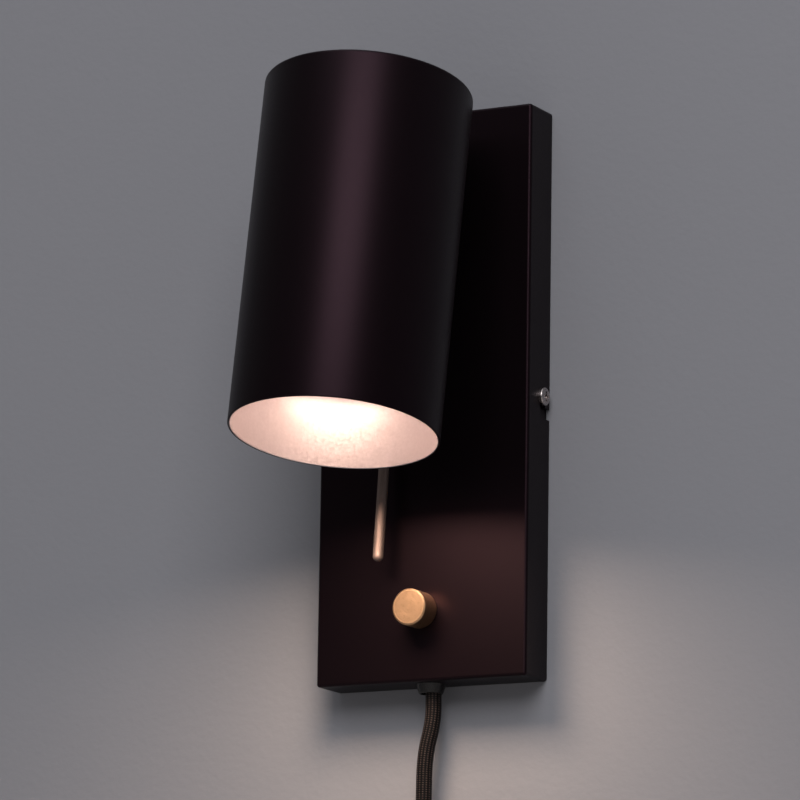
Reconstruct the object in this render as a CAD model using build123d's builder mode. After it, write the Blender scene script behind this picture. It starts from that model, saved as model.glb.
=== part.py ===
from build123d import *

import os
from math import cos, pi, radians, sin, sqrt, tan

# Bedside wall reading lamp: flat wall box, swivelling and tilting cylinder shade, steel aiming rod,
# rotary dimmer with a brass knob, and a plug-in cord.
# Frame in millimetres: X to the right, Y into the wall, Z up. The origin is on the wall, midway
# between the bracket's two wall-screw holes. The lamp lies on the -Y side, in its stored pose.

# ---- Clearances ------------------------------------------------------------------------------------
running_gap = 0.05  # radial, a shaft in its bore
face_gap = 0.05  # between flat faces that slide on each other
free_gap = 0.4  # between pieces that must never touch
lead_gap = 0.5  # from a cut lead end to the middle of the joint that it crosses

# ---- Wall box and its hanger -----------------------------------------------------------------------
box_width = 89.2
box_height = 220.6
box_depth = 18.0  # wall to the outside of the front
box_sheet = 1.2
box_edge = 1.2  # outside radius of the folds
cover_gap = 0.1  # cover to bracket ears
bracket_height = 140.0
bracket_sheet = 1.5
bracket_corner = 4.0
wall_hole = 5.2
wall_hole_spacing = 100.0
ear_height = 24.0
ear_depth = 12.5
side_screw = 4.0
side_screw_out = 5.9  # screw axis from the wall
side_screw_height = -2.0
side_screw_length = 6.5
side_head = 7.0
side_head_height = 1.6
side_nut = 7.0  # across flats
side_nut_height = 3.2
hang_slot_gap = 0.3
hang_slot_drop = 6.2  # the cover is lifted on this far below its seat, then lowered

# ---- Cord and its bushing --------------------------------------------------------------------------
cord_diameter = 6.1
gland_out = 8.5  # gland axis from the wall
gland_flange = 11.6
gland_flange_end = 9.2  # the flange tapers down to this
gland_flange_length = 3.6
gland_neck = 10.4
gland_lip = 0.3  # radius round the flange's lower rim
gland_bore = 8.4
gland_end = 4.8  # neck length above the box floor
gland_nut = 13.0
gland_nut_height = 3.5
cord_rest = 1.1  # the cord leans against the bore's right side
cord_joint_inside = 1.6  # the free cord starts this far up the bushing
sheath_end = 7.3  # bare leads start this far above the box floor
lead_diameter = 2.2
lead_pitch = 2.6  # between a pair of leads

# ---- Swivel ----------------------------------------------------------------------------------------
swivel_below_top = 30.3
swivel_range = 90.0  # each way, set by the stop pin in its slot
disc_radius = 13.0
disc_thickness = 2.5
slide_washer = 0.5  # nylon, with its face gap
stem_diameter = 10.0
stem_bore = 6.0
stem_inside = 6.5  # stem end, behind the front sheet
stem_washer = 15.0
stem_washer_thickness = 1.0
spring_washer = 14.5
spring_washer_thickness = 0.8
stem_nut = 14.0
stem_nut_height = 3.5
stop_pin = 2.4
stop_radius = 9.0
stop_pin_inside = 0.8  # stands this far behind the front sheet
stop_slot_gap = 0.25

# ---- Tilt hinge and shade bracket ------------------------------------------------------------------
hinge_reach = 7.2  # hinge axis from the box front
hinge_gap = 5.5  # hinge axis from the shade wall
hinge_below_top = 20.8
rest_tilt = 9.7  # degrees, shade foot outwards
ear_radius = 3.6
fork_ear_inside = 8.0
fork_ear_thickness = 3.0
tab_radius = 3.8
tab_inside = 4.5
tab_thickness = 3.0
saddle_width = 24.0
saddle_height = 25.0
saddle_thickness = 1.5
saddle_corner = 3.0
stud = 4.0
stud_spacing = 18.0
stud_nut = 7.0
stud_nut_height = 3.2
pivot_shoulder = 4.0
pivot_thread = 3.0
pivot_head = 7.0
pivot_head_height = 2.0
bushing_flange = 8.8
bushing_flange_thickness = 0.8
bushing_body = 7.0
bushing_bore = 5.2
bushing_length = 5.6

# ---- Shade and what it holds -----------------------------------------------------------------------
shade_diameter = 79.0
shade_length = 137.5
shade_wall = 1.0
shade_top_edge = 1.2
shade_rim_edge = 0.3
strip_width = 14.0
strip_sheet = 1.5
strip_bend = 2.5
strip_foot = 13.5  # below the hinge height
strip_nut_gap = 0.3  # nut's upper flat to the strip's fold
strip_overhang = 12.0  # past the shade's axis
holder_diameter = 28.0
holder_height = 17.0
holder_edge = 1.5
holder_screw = 3.0
holder_screw_spacing = 14.0
holder_screw_length = 8.0
holder_screw_head = 5.6
holder_screw_head_height = 1.9
lead_entry = 7.2  # below the strip
pin_spacing = 10.0
pin_neck = 3.0
pin_neck_length = 3.2
pin_head = 4.9
pin_head_length = 3.2
pin_socket_gap = 0.25
bulb_diameter = 50.0
bulb_neck = 25.0
bulb_neck_length = 11.0
bulb_length = 47.0
bulb_rim = 6.0
bulb_edge = 1.2
lens_diameter = 44.0
lens_thickness = 2.5
lens_recess = 0.8
lens_gap = 0.1

# ---- Aiming rod ------------------------------------------------------------------------------------
rod_diameter = 4.0
rod_side = -13.4
rod_out = 4.3  # rod axis from the box front, upper part
rod_socket = 7.4
rod_socket_top = 8.0  # below the swivel axis
rod_socket_length = 12.0
rod_engagement = 10.0
rod_bend_drop = 90.0  # below the swivel axis
rod_tip_drop = 145.0
rod_toe_out = 5.7
rod_bend_radius = 150.0
grub_screw = 3.0
grub_length = 2.6
grub_socket = 1.5
grub_socket_depth = 1.2

# ---- Dimmer ----------------------------------------------------------------------------------------
knob_above_floor = 27.1
knob_diameter = 14.0
knob_length = 10.0  # box front to the knob's face
knob_gap = 0.4
knob_edge = 0.5
knob_recess = 12.4
knob_recess_depth = 2.9
knob_grub_out = 6.0  # from the box front
grub_angle = 135.0  # degrees from +X, so that the screw sits up and to the left
knob_range = 135.0
shaft_diameter = 6.0
shaft_flat = 1.5  # from the shaft axis
shaft_inside = 7.0  # behind the box front's inner face
shaft_end = 8.0  # from the box front
bush_diameter = 7.2
bush_nut = 10.0
bush_nut_height = 2.0
bush_washer = 11.0
bush_washer_thickness = 0.5
bush_proud = 0.4
dimmer_width = 26.0
dimmer_height = 22.0
dimmer_depth = 9.5
dimmer_edge = 1.0

# ---- Terminal block --------------------------------------------------------------------------------
terminal_height = -20.0
terminal_width = 24.0
terminal_tall = 17.0
terminal_depth = 11.0
terminal_pitch = 8.0
terminal_channel = 2.6
terminal_channel_depth = 5.5  # channel axis from the front sheet
terminal_screw = 3.0
terminal_screw_spacing = 9.0
terminal_slot_width = 0.7
terminal_slot_depth = 0.8
terminal_stud = 2.5
terminal_nut = 5.0
terminal_nut_height = 2.0

# ---- Put-away cord and plug ------------------------------------------------------------------------
coil_outer = 41.0  # radius of the outermost turn's middle
coil_pitch = 8.0  # between turns of one layer
coil_layer_pitch = 7.3
coil_layers = 4
coil_half_turns = 3  # per layer, before the climb
coil_heading = 225.0  # degrees in the XZ plane, the way the cord enters
coil_tail_climb = 10.6
tie_width = 8.0
tie_thickness = 1.2
tie_gap = 0.6
tie_corner = 3.0
plug_width = 35.3
plug_thickness = 13.7
plug_shoulder_width = 27.0
plug_shoulder = 24.0  # cord entry to the shoulder
plug_face_length = 14.0
plug_neck = 8.4
plug_corner = 5.5
plug_edge = 0.8
plug_pin = 4.0
plug_pin_length = 19.0
plug_pin_spacing = 18.6
plug_pin_tip = 1.2
plug_pin_root = 2.0

# ---- Places worked out from the sizes --------------------------------------------------------------
shade_radius = shade_diameter / 2
shade_bore_radius = shade_radius - shade_wall
box_inside = box_depth - box_sheet  # wall to the inner face of the front
swivel_height = box_height / 2 - swivel_below_top
knob_height = knob_above_floor - box_height / 2
lean = radians(rest_tilt)
shade_up = Vector(0, sin(lean), cos(lean))
to_wall = Vector(0, cos(lean), -sin(lean))
hinge = Vector(0, -(box_depth + hinge_reach), swivel_height)
hinge_rise = shade_length - hinge_below_top
shade_foot = hinge - shade_up * hinge_rise - to_wall * (shade_radius + hinge_gap)

front = Plane(origin=(0, -box_depth, 0), x_dir=(1, 0, 0), z_dir=(0, -1, 0))
swivel_plane = Plane(origin=(0, 0, swivel_height), x_dir=(1, 0, 0), z_dir=(0, -1, 0))
knob_plane = Plane(origin=(0, 0, knob_height), x_dir=(1, 0, 0), z_dir=(0, -1, 0))
terminal_plane = Plane(origin=(0, 0, terminal_height), x_dir=(1, 0, 0), z_dir=(0, -1, 0))
floor_plane = Plane(origin=(0, -gland_out, -box_height / 2), x_dir=(1, 0, 0), z_dir=(0, 0, 1))
shade_plane = Plane(origin=shade_foot, x_dir=(1, 0, 0), z_dir=shade_up)
hinge_plane = Plane(origin=hinge, x_dir=(1, 0, 0), z_dir=-to_wall)  # Y up the shade, Z into it
hinge_side = Plane(origin=hinge, x_dir=to_wall, z_dir=(1, 0, 0))
fork_side = Plane(origin=hinge, x_dir=(0, 1, 0), z_dir=(1, 0, 0))


# ---- Shared shapes ---------------------------------------------------------------------------------
def hexagon(across_flats, bore):
    """Nut outline, in the sketch being drawn."""
    RegularPolygon(radius=across_flats / 2, side_count=6, major_radius=False)
    Circle(bore / 2, mode=Mode.SUBTRACT)


def ring(outside, bore):
    """Washer outline, in the sketch being drawn."""
    Circle(outside / 2)
    Circle(bore / 2, mode=Mode.SUBTRACT)


def cross_screw(seat, size, length, head, head_height):
    """Pan-head cross screw in the part being built: head on the seat plane, shank behind it."""
    with BuildSketch(seat) as head_outline:
        Circle(head / 2)
    extrude(head_outline.sketch, amount=head_height)
    along = Axis(seat.origin, seat.z_dir)
    fillet(edges(Select.LAST).filter_by(GeomType.CIRCLE).sort_by(along)[-1], head_height * 0.45)
    with BuildSketch(seat) as shank_outline:
        Circle(size / 2)
    extrude(shank_outline.sketch, amount=-length)
    with BuildSketch(seat.offset(head_height)) as recess_outline:
        Rectangle(head * 0.55, head * 0.14)
        Rectangle(head * 0.14, head * 0.55)
    extrude(recess_outline.sketch, amount=-head_height * 0.5, mode=Mode.SUBTRACT)


def grub(start, length):
    """Headless set screw from the start plane along its normal, with a hexagon socket."""
    with BuildSketch(start) as outline:
        Circle(grub_screw / 2)
    extrude(outline.sketch, amount=length)
    with BuildSketch(start.offset(length)) as socket_outline:
        RegularPolygon(radius=grub_socket / 2, side_count=6, major_radius=False)
    extrude(socket_outline.sketch, amount=-grub_socket_depth, mode=Mode.SUBTRACT)


def bend_radii(points):
    """Largest tangent arcs that fit the corners of a route."""
    route = [Vector(*point) for point in points]
    radii = []
    for before, corner, after in zip(route, route[1:], route[2:]):
        turn = (corner - before).get_angle(after - corner)
        shorter = min((corner - before).length, (after - corner).length)
        radii.append(0.45 * shorter / tan(radians(turn) / 2))
    return radii


def round_lead(points, diameter):
    """Round lead swept along straight runs and tangent arcs, in the part being built."""
    with BuildLine() as route:
        FilletPolyline(*points, radius=bend_radii(points))
    with BuildSketch(Plane(origin=route.line @ 0, z_dir=route.line % 0)) as section:
        Circle(diameter / 2)
    sweep(sections=section.sketch, path=route.line)


# ---- Wall bracket ----------------------------------------------------------------------------------
ear_face = box_width / 2 - box_sheet - cover_gap  # outside of the ears
with BuildPart() as wall_bracket:
    with BuildSketch(Plane.XZ):
        RectangleRounded(2 * ear_face, bracket_height, bracket_corner)
        with GridLocations(0, wall_hole_spacing, 1, 2):
            Circle(wall_hole / 2, mode=Mode.SUBTRACT)
    extrude(amount=bracket_sheet)
    with BuildSketch(Plane.YZ.offset(ear_face)):
        Rectangle(ear_depth, ear_height, align=(Align.MAX, Align.CENTER))
    extrude(amount=-bracket_sheet)
    fillet(edges(Select.LAST).filter_by(Axis.X).group_by(Axis.Y)[0], bracket_corner)
    mirror(about=Plane.YZ)
    with BuildSketch(Plane.YZ):
        with Locations((-side_screw_out, side_screw_height)):
            Circle(side_screw / 2)
    extrude(amount=box_width, both=True, mode=Mode.SUBTRACT)

right_point = (box_width / 2, -side_screw_out, side_screw_height)
left_point = (-box_width / 2, -side_screw_out, side_screw_height)
right_seat = Plane(origin=right_point, x_dir=(0, 0, 1), z_dir=(1, 0, 0))
left_seat = Plane(origin=left_point, x_dir=(0, 0, 1), z_dir=(-1, 0, 0))

with BuildPart() as side_screws:
    for seat in (right_seat, left_seat):
        cross_screw(seat, side_screw, side_screw_length, side_head, side_head_height)

with BuildPart() as ear_nuts:
    for seat in (right_seat, left_seat):
        with BuildSketch(seat.offset(ear_face - bracket_sheet - box_width / 2)):
            hexagon(side_nut, side_screw)
        extrude(amount=-side_nut_height)

# ---- Wall box --------------------------------------------------------------------------------------
hang_slot = side_screw + hang_slot_gap
with BuildPart() as wall_box:
    with BuildSketch(Plane.XZ):
        Rectangle(box_width, box_height)
    extrude(amount=box_depth)
    folds = edges().filter_by(Axis.Y) + edges().group_by(Axis.Y)[0]
    fillet(folds, box_edge)
    with BuildSketch(Plane.XZ):
        Rectangle(box_width - 2 * box_sheet, box_height - 2 * box_sheet)
    extrude(amount=box_inside, mode=Mode.SUBTRACT)
    # Bayonet slots in both sides: in from the wall edge, then up to the screw's seat.
    with BuildSketch(Plane.YZ):
        with Locations((-side_screw_out, side_screw_height - hang_slot_drop / 2)):
            SlotCenterToCenter(hang_slot_drop, hang_slot, rotation=90)
        with Locations((0, side_screw_height - hang_slot_drop)):
            Rectangle(side_screw_out, hang_slot, align=(Align.MAX, Align.CENTER))
    extrude(amount=box_width, both=True, mode=Mode.SUBTRACT)
    # Holes for the stem, its stop pin, the dimmer bush and the cord bushing.
    with BuildSketch(swivel_plane.offset(box_inside)):
        Circle(stem_diameter / 2 + running_gap)
        stop_arc = Edge.make_circle(
            stop_radius, start_angle=270 - swivel_range, end_angle=270 + swivel_range
        )
        SlotArc(stop_arc, stop_pin + 2 * stop_slot_gap)
    extrude(amount=box_sheet, mode=Mode.SUBTRACT)
    with BuildSketch(knob_plane.offset(box_inside)):
        Circle(bush_diameter / 2)
    extrude(amount=box_sheet, mode=Mode.SUBTRACT)
    with BuildSketch(floor_plane):
        Circle(gland_neck / 2)
    extrude(amount=box_sheet, mode=Mode.SUBTRACT)
    # Two welded studs for the terminal block.
    with BuildSketch(terminal_plane.offset(box_inside)):
        with GridLocations(terminal_pitch, 0, 2, 1):
            Circle(terminal_stud / 2)
    extrude(amount=-(terminal_depth + terminal_nut_height))

# ---- Cord bushing, its nut and the sheathed end ----------------------------------------------------
with BuildPart() as cord_gland:
    with BuildSketch(floor_plane):
        Circle(gland_flange / 2)
    with BuildSketch(floor_plane.offset(-gland_flange_length)):
        Circle(gland_flange_end / 2)
    loft()
    fillet(edges().group_by(Axis.Z)[0], gland_lip)
    with BuildSketch(floor_plane):
        Circle(gland_neck / 2)
    extrude(amount=box_sheet + gland_end)
    with BuildSketch(floor_plane.offset(-gland_flange_length)):
        Circle(gland_bore / 2)
    extrude(amount=gland_flange_length + box_sheet + gland_end, mode=Mode.SUBTRACT)

with BuildPart() as gland_nut_piece:
    with BuildSketch(floor_plane.offset(box_sheet)):
        hexagon(gland_nut, gland_neck)
    extrude(amount=gland_nut_height)

cord_start = -box_height / 2 - gland_flange_length + cord_joint_inside
sheath_top = -box_height / 2 + box_sheet + sheath_end
with BuildPart() as cord_inner:
    with BuildSketch(Plane.XY.offset(cord_start)):
        with Locations((cord_rest, -gland_out)):
            Circle(cord_diameter / 2)
    extrude(amount=sheath_top - cord_start)

# ---- Terminal block --------------------------------------------------------------------------------
channel_y = -(box_inside - terminal_channel_depth)
block_back = box_inside - terminal_depth
with BuildPart() as terminal_block:
    with BuildSketch(terminal_plane.offset(block_back)):
        Rectangle(terminal_width, terminal_tall)
        with GridLocations(terminal_pitch, 0, 2, 1):
            Circle(terminal_stud / 2, mode=Mode.SUBTRACT)
    extrude(amount=terminal_depth)
    with BuildSketch(Plane.XY.offset(terminal_height - terminal_tall / 2)):
        with Locations((0, channel_y)):
            with GridLocations(terminal_pitch, 0, 3, 1):
                Circle(terminal_channel / 2)
    extrude(amount=terminal_tall, mode=Mode.SUBTRACT)
    with BuildSketch(terminal_plane.offset(block_back)):
        with GridLocations(terminal_pitch, terminal_screw_spacing, 3, 2):
            Circle(terminal_screw / 2)
    extrude(amount=terminal_depth - terminal_channel_depth, mode=Mode.SUBTRACT)

screw_depth = terminal_depth - terminal_channel_depth - lead_diameter / 2 - running_gap
with BuildPart() as terminal_screws:
    with BuildSketch(terminal_plane.offset(block_back)):
        with GridLocations(terminal_pitch, terminal_screw_spacing, 3, 2):
            Circle(terminal_screw / 2)
    extrude(amount=screw_depth)
    with BuildSketch(terminal_plane.offset(block_back)):
        with GridLocations(terminal_pitch, terminal_screw_spacing, 3, 2):
            Rectangle(terminal_screw, terminal_slot_width, rotation=45)
    extrude(amount=terminal_slot_depth, mode=Mode.SUBTRACT)

with BuildPart() as terminal_nuts:
    with BuildSketch(terminal_plane.offset(block_back)):
        with GridLocations(terminal_pitch, 0, 2, 1):
            hexagon(terminal_nut, terminal_stud)
    extrude(amount=-terminal_nut_height)

# ---- Dimmer ----------------------------------------------------------------------------------------
bush_end = box_depth + bush_washer_thickness + bush_nut_height + bush_proud
with BuildPart() as dimmer_body:
    with BuildSketch(knob_plane.offset(box_inside)):
        Rectangle(dimmer_width, dimmer_height)
    extrude(amount=-dimmer_depth)
    chamfer(edges().group_by(Axis.Y)[-1], dimmer_edge)
    with BuildSketch(knob_plane.offset(box_inside)):
        Circle(bush_diameter / 2)
    extrude(amount=bush_end - box_inside)
    with BuildSketch(knob_plane.offset(box_inside - shaft_inside - free_gap)):
        Circle(shaft_diameter / 2 + running_gap)
    extrude(amount=bush_end - box_inside + shaft_inside + free_gap, mode=Mode.SUBTRACT)

with BuildPart() as dimmer_washer:
    with BuildSketch(knob_plane.offset(box_depth)):
        ring(bush_washer, bush_diameter)
    extrude(amount=bush_washer_thickness)

with BuildPart() as dimmer_nut:
    with BuildSketch(knob_plane.offset(box_depth + bush_washer_thickness)):
        hexagon(bush_nut, bush_diameter)
    extrude(amount=bush_nut_height)

# The flat faces the set screw, up and to the left.
flat_side = Vector(cos(radians(grub_angle)), 0, sin(radians(grub_angle)))
flat_plane = Plane(origin=(0, 0, knob_height), x_dir=flat_side, z_dir=(0, -1, 0))
with BuildPart() as dimmer_shaft:
    with BuildSketch(knob_plane.offset(box_inside - shaft_inside)):
        Circle(shaft_diameter / 2)
    extrude(amount=shaft_end + box_sheet + shaft_inside)
    with BuildSketch(flat_plane.offset(bush_end + free_gap)):
        with Locations((shaft_flat, 0)):
            Rectangle(shaft_diameter, shaft_diameter, align=(Align.MIN, Align.CENTER))
    extrude(amount=shaft_end, mode=Mode.SUBTRACT)

with BuildPart() as dimmer_knob:
    with BuildSketch(knob_plane.offset(box_depth + knob_gap)):
        Circle(knob_diameter / 2)
    extrude(amount=knob_length - knob_gap)
    chamfer(edges().group_by(Axis.Y)[0], knob_edge)
    with BuildSketch(knob_plane.offset(box_depth + knob_gap)):
        Circle(knob_recess / 2)
    extrude(amount=knob_recess_depth, mode=Mode.SUBTRACT)
    with BuildSketch(knob_plane.offset(box_depth + knob_gap)):
        Circle(shaft_diameter / 2)
    extrude(amount=shaft_end - knob_gap, mode=Mode.SUBTRACT)
    grub_centre = (0, -(box_depth + knob_grub_out), knob_height)
    grub_seat = Plane(origin=grub_centre, x_dir=(0, 1, 0), z_dir=flat_side)
    with BuildSketch(grub_seat):
        Circle(grub_screw / 2)
    extrude(amount=knob_diameter, mode=Mode.SUBTRACT)

knob_grub_length = knob_diameter / 2 - shaft_flat - free_gap
with BuildPart() as knob_set_screw:
    grub(grub_seat.offset(shaft_flat), knob_grub_length)

# ---- Inner leads -----------------------------------------------------------------------------------
half_pitch = lead_pitch / 2
dimmer_top = knob_height + dimmer_height / 2
dimmer_bottom = knob_height - dimmer_height / 2
block_top = terminal_height + terminal_tall / 2
block_bottom = terminal_height - terminal_tall / 2
lead_span = block_bottom - dimmer_top  # the leads' way points are shares of it
lead_grip = 5.0  # lead end inside the block
behind_dimmer = -(box_inside - dimmer_depth) + free_gap + lead_diameter
mid_depth = -box_depth / 2 + 2.5

with BuildPart() as supply_leads:
    for side, pole in ((-1, -terminal_pitch), (1, 0.0)):
        start_x = cord_rest + side * half_pitch
        round_lead(
            [
                (start_x, -gland_out, sheath_top),
                (start_x, -gland_out, sheath_top + 2.0),
                (start_x - 0.5, behind_dimmer, dimmer_bottom + 1.0),
                (start_x + (pole - start_x) * 0.4, behind_dimmer + 0.5, dimmer_bottom + 14.0),
                (pole, behind_dimmer, dimmer_top + lead_span * 0.27),
                (pole, channel_y, dimmer_top + lead_span * 0.73),
                (pole, channel_y, block_bottom + lead_grip),
            ],
            lead_diameter,
        )

with BuildPart() as dimmer_leads:
    lead_y = -(box_inside - dimmer_depth / 2)
    side_x = terminal_width / 2 + 4.5
    crossing_y = -(box_inside - lead_diameter)
    # Output to the right-hand pole.
    round_lead(
        [
            (3.0, lead_y, dimmer_top),
            (3.0, lead_y, dimmer_top + lead_span * 0.18),
            (terminal_pitch, channel_y, dimmer_top + lead_span * 0.66),
            (terminal_pitch, channel_y, block_bottom + lead_grip),
        ],
        lead_diameter,
    )
    # Feed from the middle pole's upper side, round the block's right-hand end.
    round_lead(
        [
            (8.0, lead_y, dimmer_top),
            (8.0, lead_y, dimmer_top + lead_span * 0.16),
            (side_x, channel_y, dimmer_top + lead_span * 0.41),
            (side_x, channel_y - 1.5, block_top + 4.0),
            (side_x - 3.5, crossing_y, block_top + 14.0),
            (terminal_pitch, crossing_y, block_top + 19.0),
            (2.0, crossing_y + 1.0, block_top + 14.0),
            (0.0, channel_y, block_top + 5.0),
            (0.0, channel_y, block_top - lead_grip),
        ],
        lead_diameter,
    )

stem_mouth = box_inside - stem_inside
with BuildPart() as lamp_leads:
    for side in (-1, 1):
        round_lead(
            [
                (side * terminal_pitch, channel_y, block_top - lead_grip),
                (side * terminal_pitch, channel_y, block_top + 3.0),
                (side * terminal_pitch, mid_depth - 1.0, block_top + 14.0),
                (side * terminal_pitch, mid_depth, block_top + 34.0),
                (side * half_pitch, mid_depth, swivel_height - 20.0),
                (side * half_pitch, mid_depth - 0.3, swivel_height),
                (side * half_pitch, -stem_mouth + face_gap, swivel_height),
            ],
            lead_diameter,
        )

# ---- Swivel stack ----------------------------------------------------------------------------------
disc_back = box_depth + slide_washer
disc_front = disc_back + disc_thickness
with BuildPart() as swivel_stem:
    with BuildSketch(swivel_plane.offset(stem_mouth)):
        ring(stem_diameter, stem_bore)
    extrude(amount=disc_front - stem_mouth)

with BuildPart() as swivel_washer:
    with BuildSketch(swivel_plane.offset(box_depth + face_gap)):
        ring(2 * disc_radius, stem_diameter)
        with Locations((0, -stop_radius)):
            Circle(stop_pin / 2, mode=Mode.SUBTRACT)
    extrude(amount=slide_washer - face_gap)

washer_front = box_inside - face_gap
with BuildPart() as stem_washer_piece:
    with BuildSketch(swivel_plane.offset(washer_front)):
        ring(stem_washer, stem_diameter)
    extrude(amount=-stem_washer_thickness)

spring_front = washer_front - stem_washer_thickness
with BuildPart() as spring_washer_piece:
    with BuildSketch(swivel_plane.offset(spring_front)):
        ring(spring_washer, stem_diameter)
        with Locations((spring_washer / 2, 0)):
            Rectangle(spring_washer / 2, spring_washer_thickness, mode=Mode.SUBTRACT)
    extrude(amount=-spring_washer_thickness)

with BuildPart() as stem_nut_piece:
    with BuildSketch(swivel_plane.offset(spring_front - spring_washer_thickness)):
        hexagon(stem_nut, stem_diameter)
    extrude(amount=-stem_nut_height)

with BuildPart() as stop_pin_piece:
    with BuildSketch(swivel_plane.offset(box_inside - stop_pin_inside)):
        with Locations((0, -stop_radius)):
            Circle(stop_pin / 2)
    extrude(amount=disc_front - box_inside + stop_pin_inside)

with BuildPart() as stem_leads:
    with BuildSketch(swivel_plane.offset(stem_mouth + face_gap + lead_gap)):
        with GridLocations(lead_pitch, 0, 2, 1):
            Circle(lead_diameter / 2)
    extrude(amount=box_depth + hinge_reach - lead_gap - stem_mouth - face_gap - lead_gap)

# ---- Fork with the rod socket ----------------------------------------------------------------------
socket_centre = -(rod_socket_top + rod_socket_length / 2)  # from the swivel axis
socket_bottom = swivel_height - rod_socket_top - rod_socket_length
rod_y = -(box_depth + rod_out)
grub_face = Plane(
    origin=(rod_side, rod_y, swivel_height + socket_centre), x_dir=(0, 1, 0), z_dir=(-1, 0, 0)
)
with BuildPart() as swivel_fork:
    with BuildSketch(swivel_plane.offset(disc_back)):
        Circle(disc_radius)
    with BuildSketch(swivel_plane.offset(disc_back)):
        with Locations((rod_side * 0.6, -rod_socket_top)):
            Circle(rod_socket * 0.6)
        with Locations((rod_side, socket_centre)):
            Circle(rod_socket * 0.6)
        make_hull()
    extrude(amount=disc_thickness)
    for inside in (fork_ear_inside, -fork_ear_inside - fork_ear_thickness):
        with BuildSketch(fork_side.offset(inside)):
            Circle(ear_radius)
            Rectangle(
                hinge_reach - slide_washer - face_gap, 2 * ear_radius, align=(Align.MIN, Align.CENTER)
            )
        extrude(amount=fork_ear_thickness)
    with BuildSketch(Plane.XY.offset(socket_bottom)):
        with Locations((rod_side, rod_y)):
            Circle(rod_socket / 2)
    extrude(amount=rod_socket_length)
    with BuildSketch(fork_side):
        Circle(pivot_shoulder / 2 + running_gap)
    extrude(amount=disc_radius + pivot_head, both=True, mode=Mode.SUBTRACT)
    with BuildSketch(swivel_plane.offset(disc_back)):
        Circle(stem_diameter / 2)
        with Locations((0, -stop_radius)):
            Circle(stop_pin / 2)
    extrude(amount=disc_thickness, mode=Mode.SUBTRACT)
    with BuildSketch(Plane.XY.offset(socket_bottom)):
        with Locations((rod_side, rod_y)):
            Circle(rod_diameter / 2)
    extrude(amount=rod_engagement, mode=Mode.SUBTRACT)
    with BuildSketch(grub_face):
        Circle(grub_screw / 2)
    extrude(amount=rod_socket, mode=Mode.SUBTRACT)

rod_set_length = (rod_socket - rod_diameter) / 2 - 0.2
with BuildPart() as rod_set_screw:
    grub(grub_face.offset(rod_diameter / 2), rod_set_length)

with BuildPart() as aiming_rod:
    with BuildLine() as rod_line:
        FilletPolyline(
            (rod_side, rod_y, socket_bottom + rod_engagement),
            (rod_side, rod_y, swivel_height - rod_bend_drop),
            (rod_side, rod_y - rod_toe_out, swivel_height - rod_tip_drop),
            radius=rod_bend_radius,
        )
    with BuildSketch(Plane(origin=rod_line.line @ 0, z_dir=rod_line.line % 0)):
        Circle(rod_diameter / 2)
    sweep()
    fillet(edges().sort_by(Axis.Z)[0], rod_diameter * 0.45)

# ---- Shade -----------------------------------------------------------------------------------------
with BuildPart() as shade:
    with BuildSketch(shade_plane):
        Circle(shade_radius)
    extrude(amount=shade_length)
    top_edge = edges().sort_by(Axis(shade_plane.origin, shade_plane.z_dir))[-1]
    fillet(top_edge, shade_top_edge)
    with BuildSketch(shade_plane):
        Circle(shade_bore_radius)
    extrude(amount=shade_length - shade_wall, mode=Mode.SUBTRACT)
    rim_edges = edges().sort_by(Axis(shade_plane.origin, shade_plane.z_dir))[:2]
    fillet(rim_edges, shade_rim_edge)
    with BuildSketch(hinge_plane):
        Circle(bushing_body / 2)
        with GridLocations(0, stud_spacing, 1, 2):
            Circle(stud / 2)
    extrude(amount=shade_radius, mode=Mode.SUBTRACT)

# ---- Saddle bracket with its hinge tabs and studs --------------------------------------------------
saddle_face = hinge_gap - saddle_thickness  # hinge axis to the saddle's flat outside
strip_face = hinge_gap + shade_radius - sqrt(shade_bore_radius**2 - (strip_width / 2) ** 2)
stud_length = strip_face + strip_sheet + stud_nut_height + 1.0 - saddle_face
edge_drop = shade_radius - sqrt(shade_radius**2 - (saddle_width / 2) ** 2)
with BuildPart() as shade_bracket:
    with BuildSketch(hinge_plane.offset(saddle_face)):
        RectangleRounded(saddle_width, saddle_height, saddle_corner)
    extrude(amount=saddle_thickness + edge_drop + 0.5)
    with BuildSketch(shade_plane):
        Circle(shade_radius)
    extrude(amount=shade_length, mode=Mode.SUBTRACT)
    for inside in (tab_inside, -tab_inside - tab_thickness):
        with BuildSketch(hinge_side.offset(inside)):
            Circle(tab_radius)
            Rectangle(saddle_face + saddle_thickness / 2, 2 * tab_radius, align=(Align.MAX, Align.CENTER))
        extrude(amount=tab_thickness)
    with BuildSketch(hinge_side):
        Circle(pivot_thread / 2)
    extrude(amount=saddle_width, both=True, mode=Mode.SUBTRACT)
    with BuildSketch(hinge_plane.offset(saddle_face)):
        Circle(bushing_body / 2)
    extrude(amount=saddle_thickness * 2, mode=Mode.SUBTRACT)
    with BuildSketch(hinge_plane.offset(saddle_face + saddle_thickness / 2)):
        with GridLocations(0, stud_spacing, 1, 2):
            Circle(stud / 2)
    extrude(amount=stud_length - saddle_thickness / 2)

with BuildPart() as bracket_nuts:
    with BuildSketch(hinge_plane.offset(strip_face + strip_sheet)):
        with GridLocations(0, stud_spacing, 1, 2):
            hexagon(stud_nut, stud)
    extrude(amount=stud_nut_height)

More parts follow.
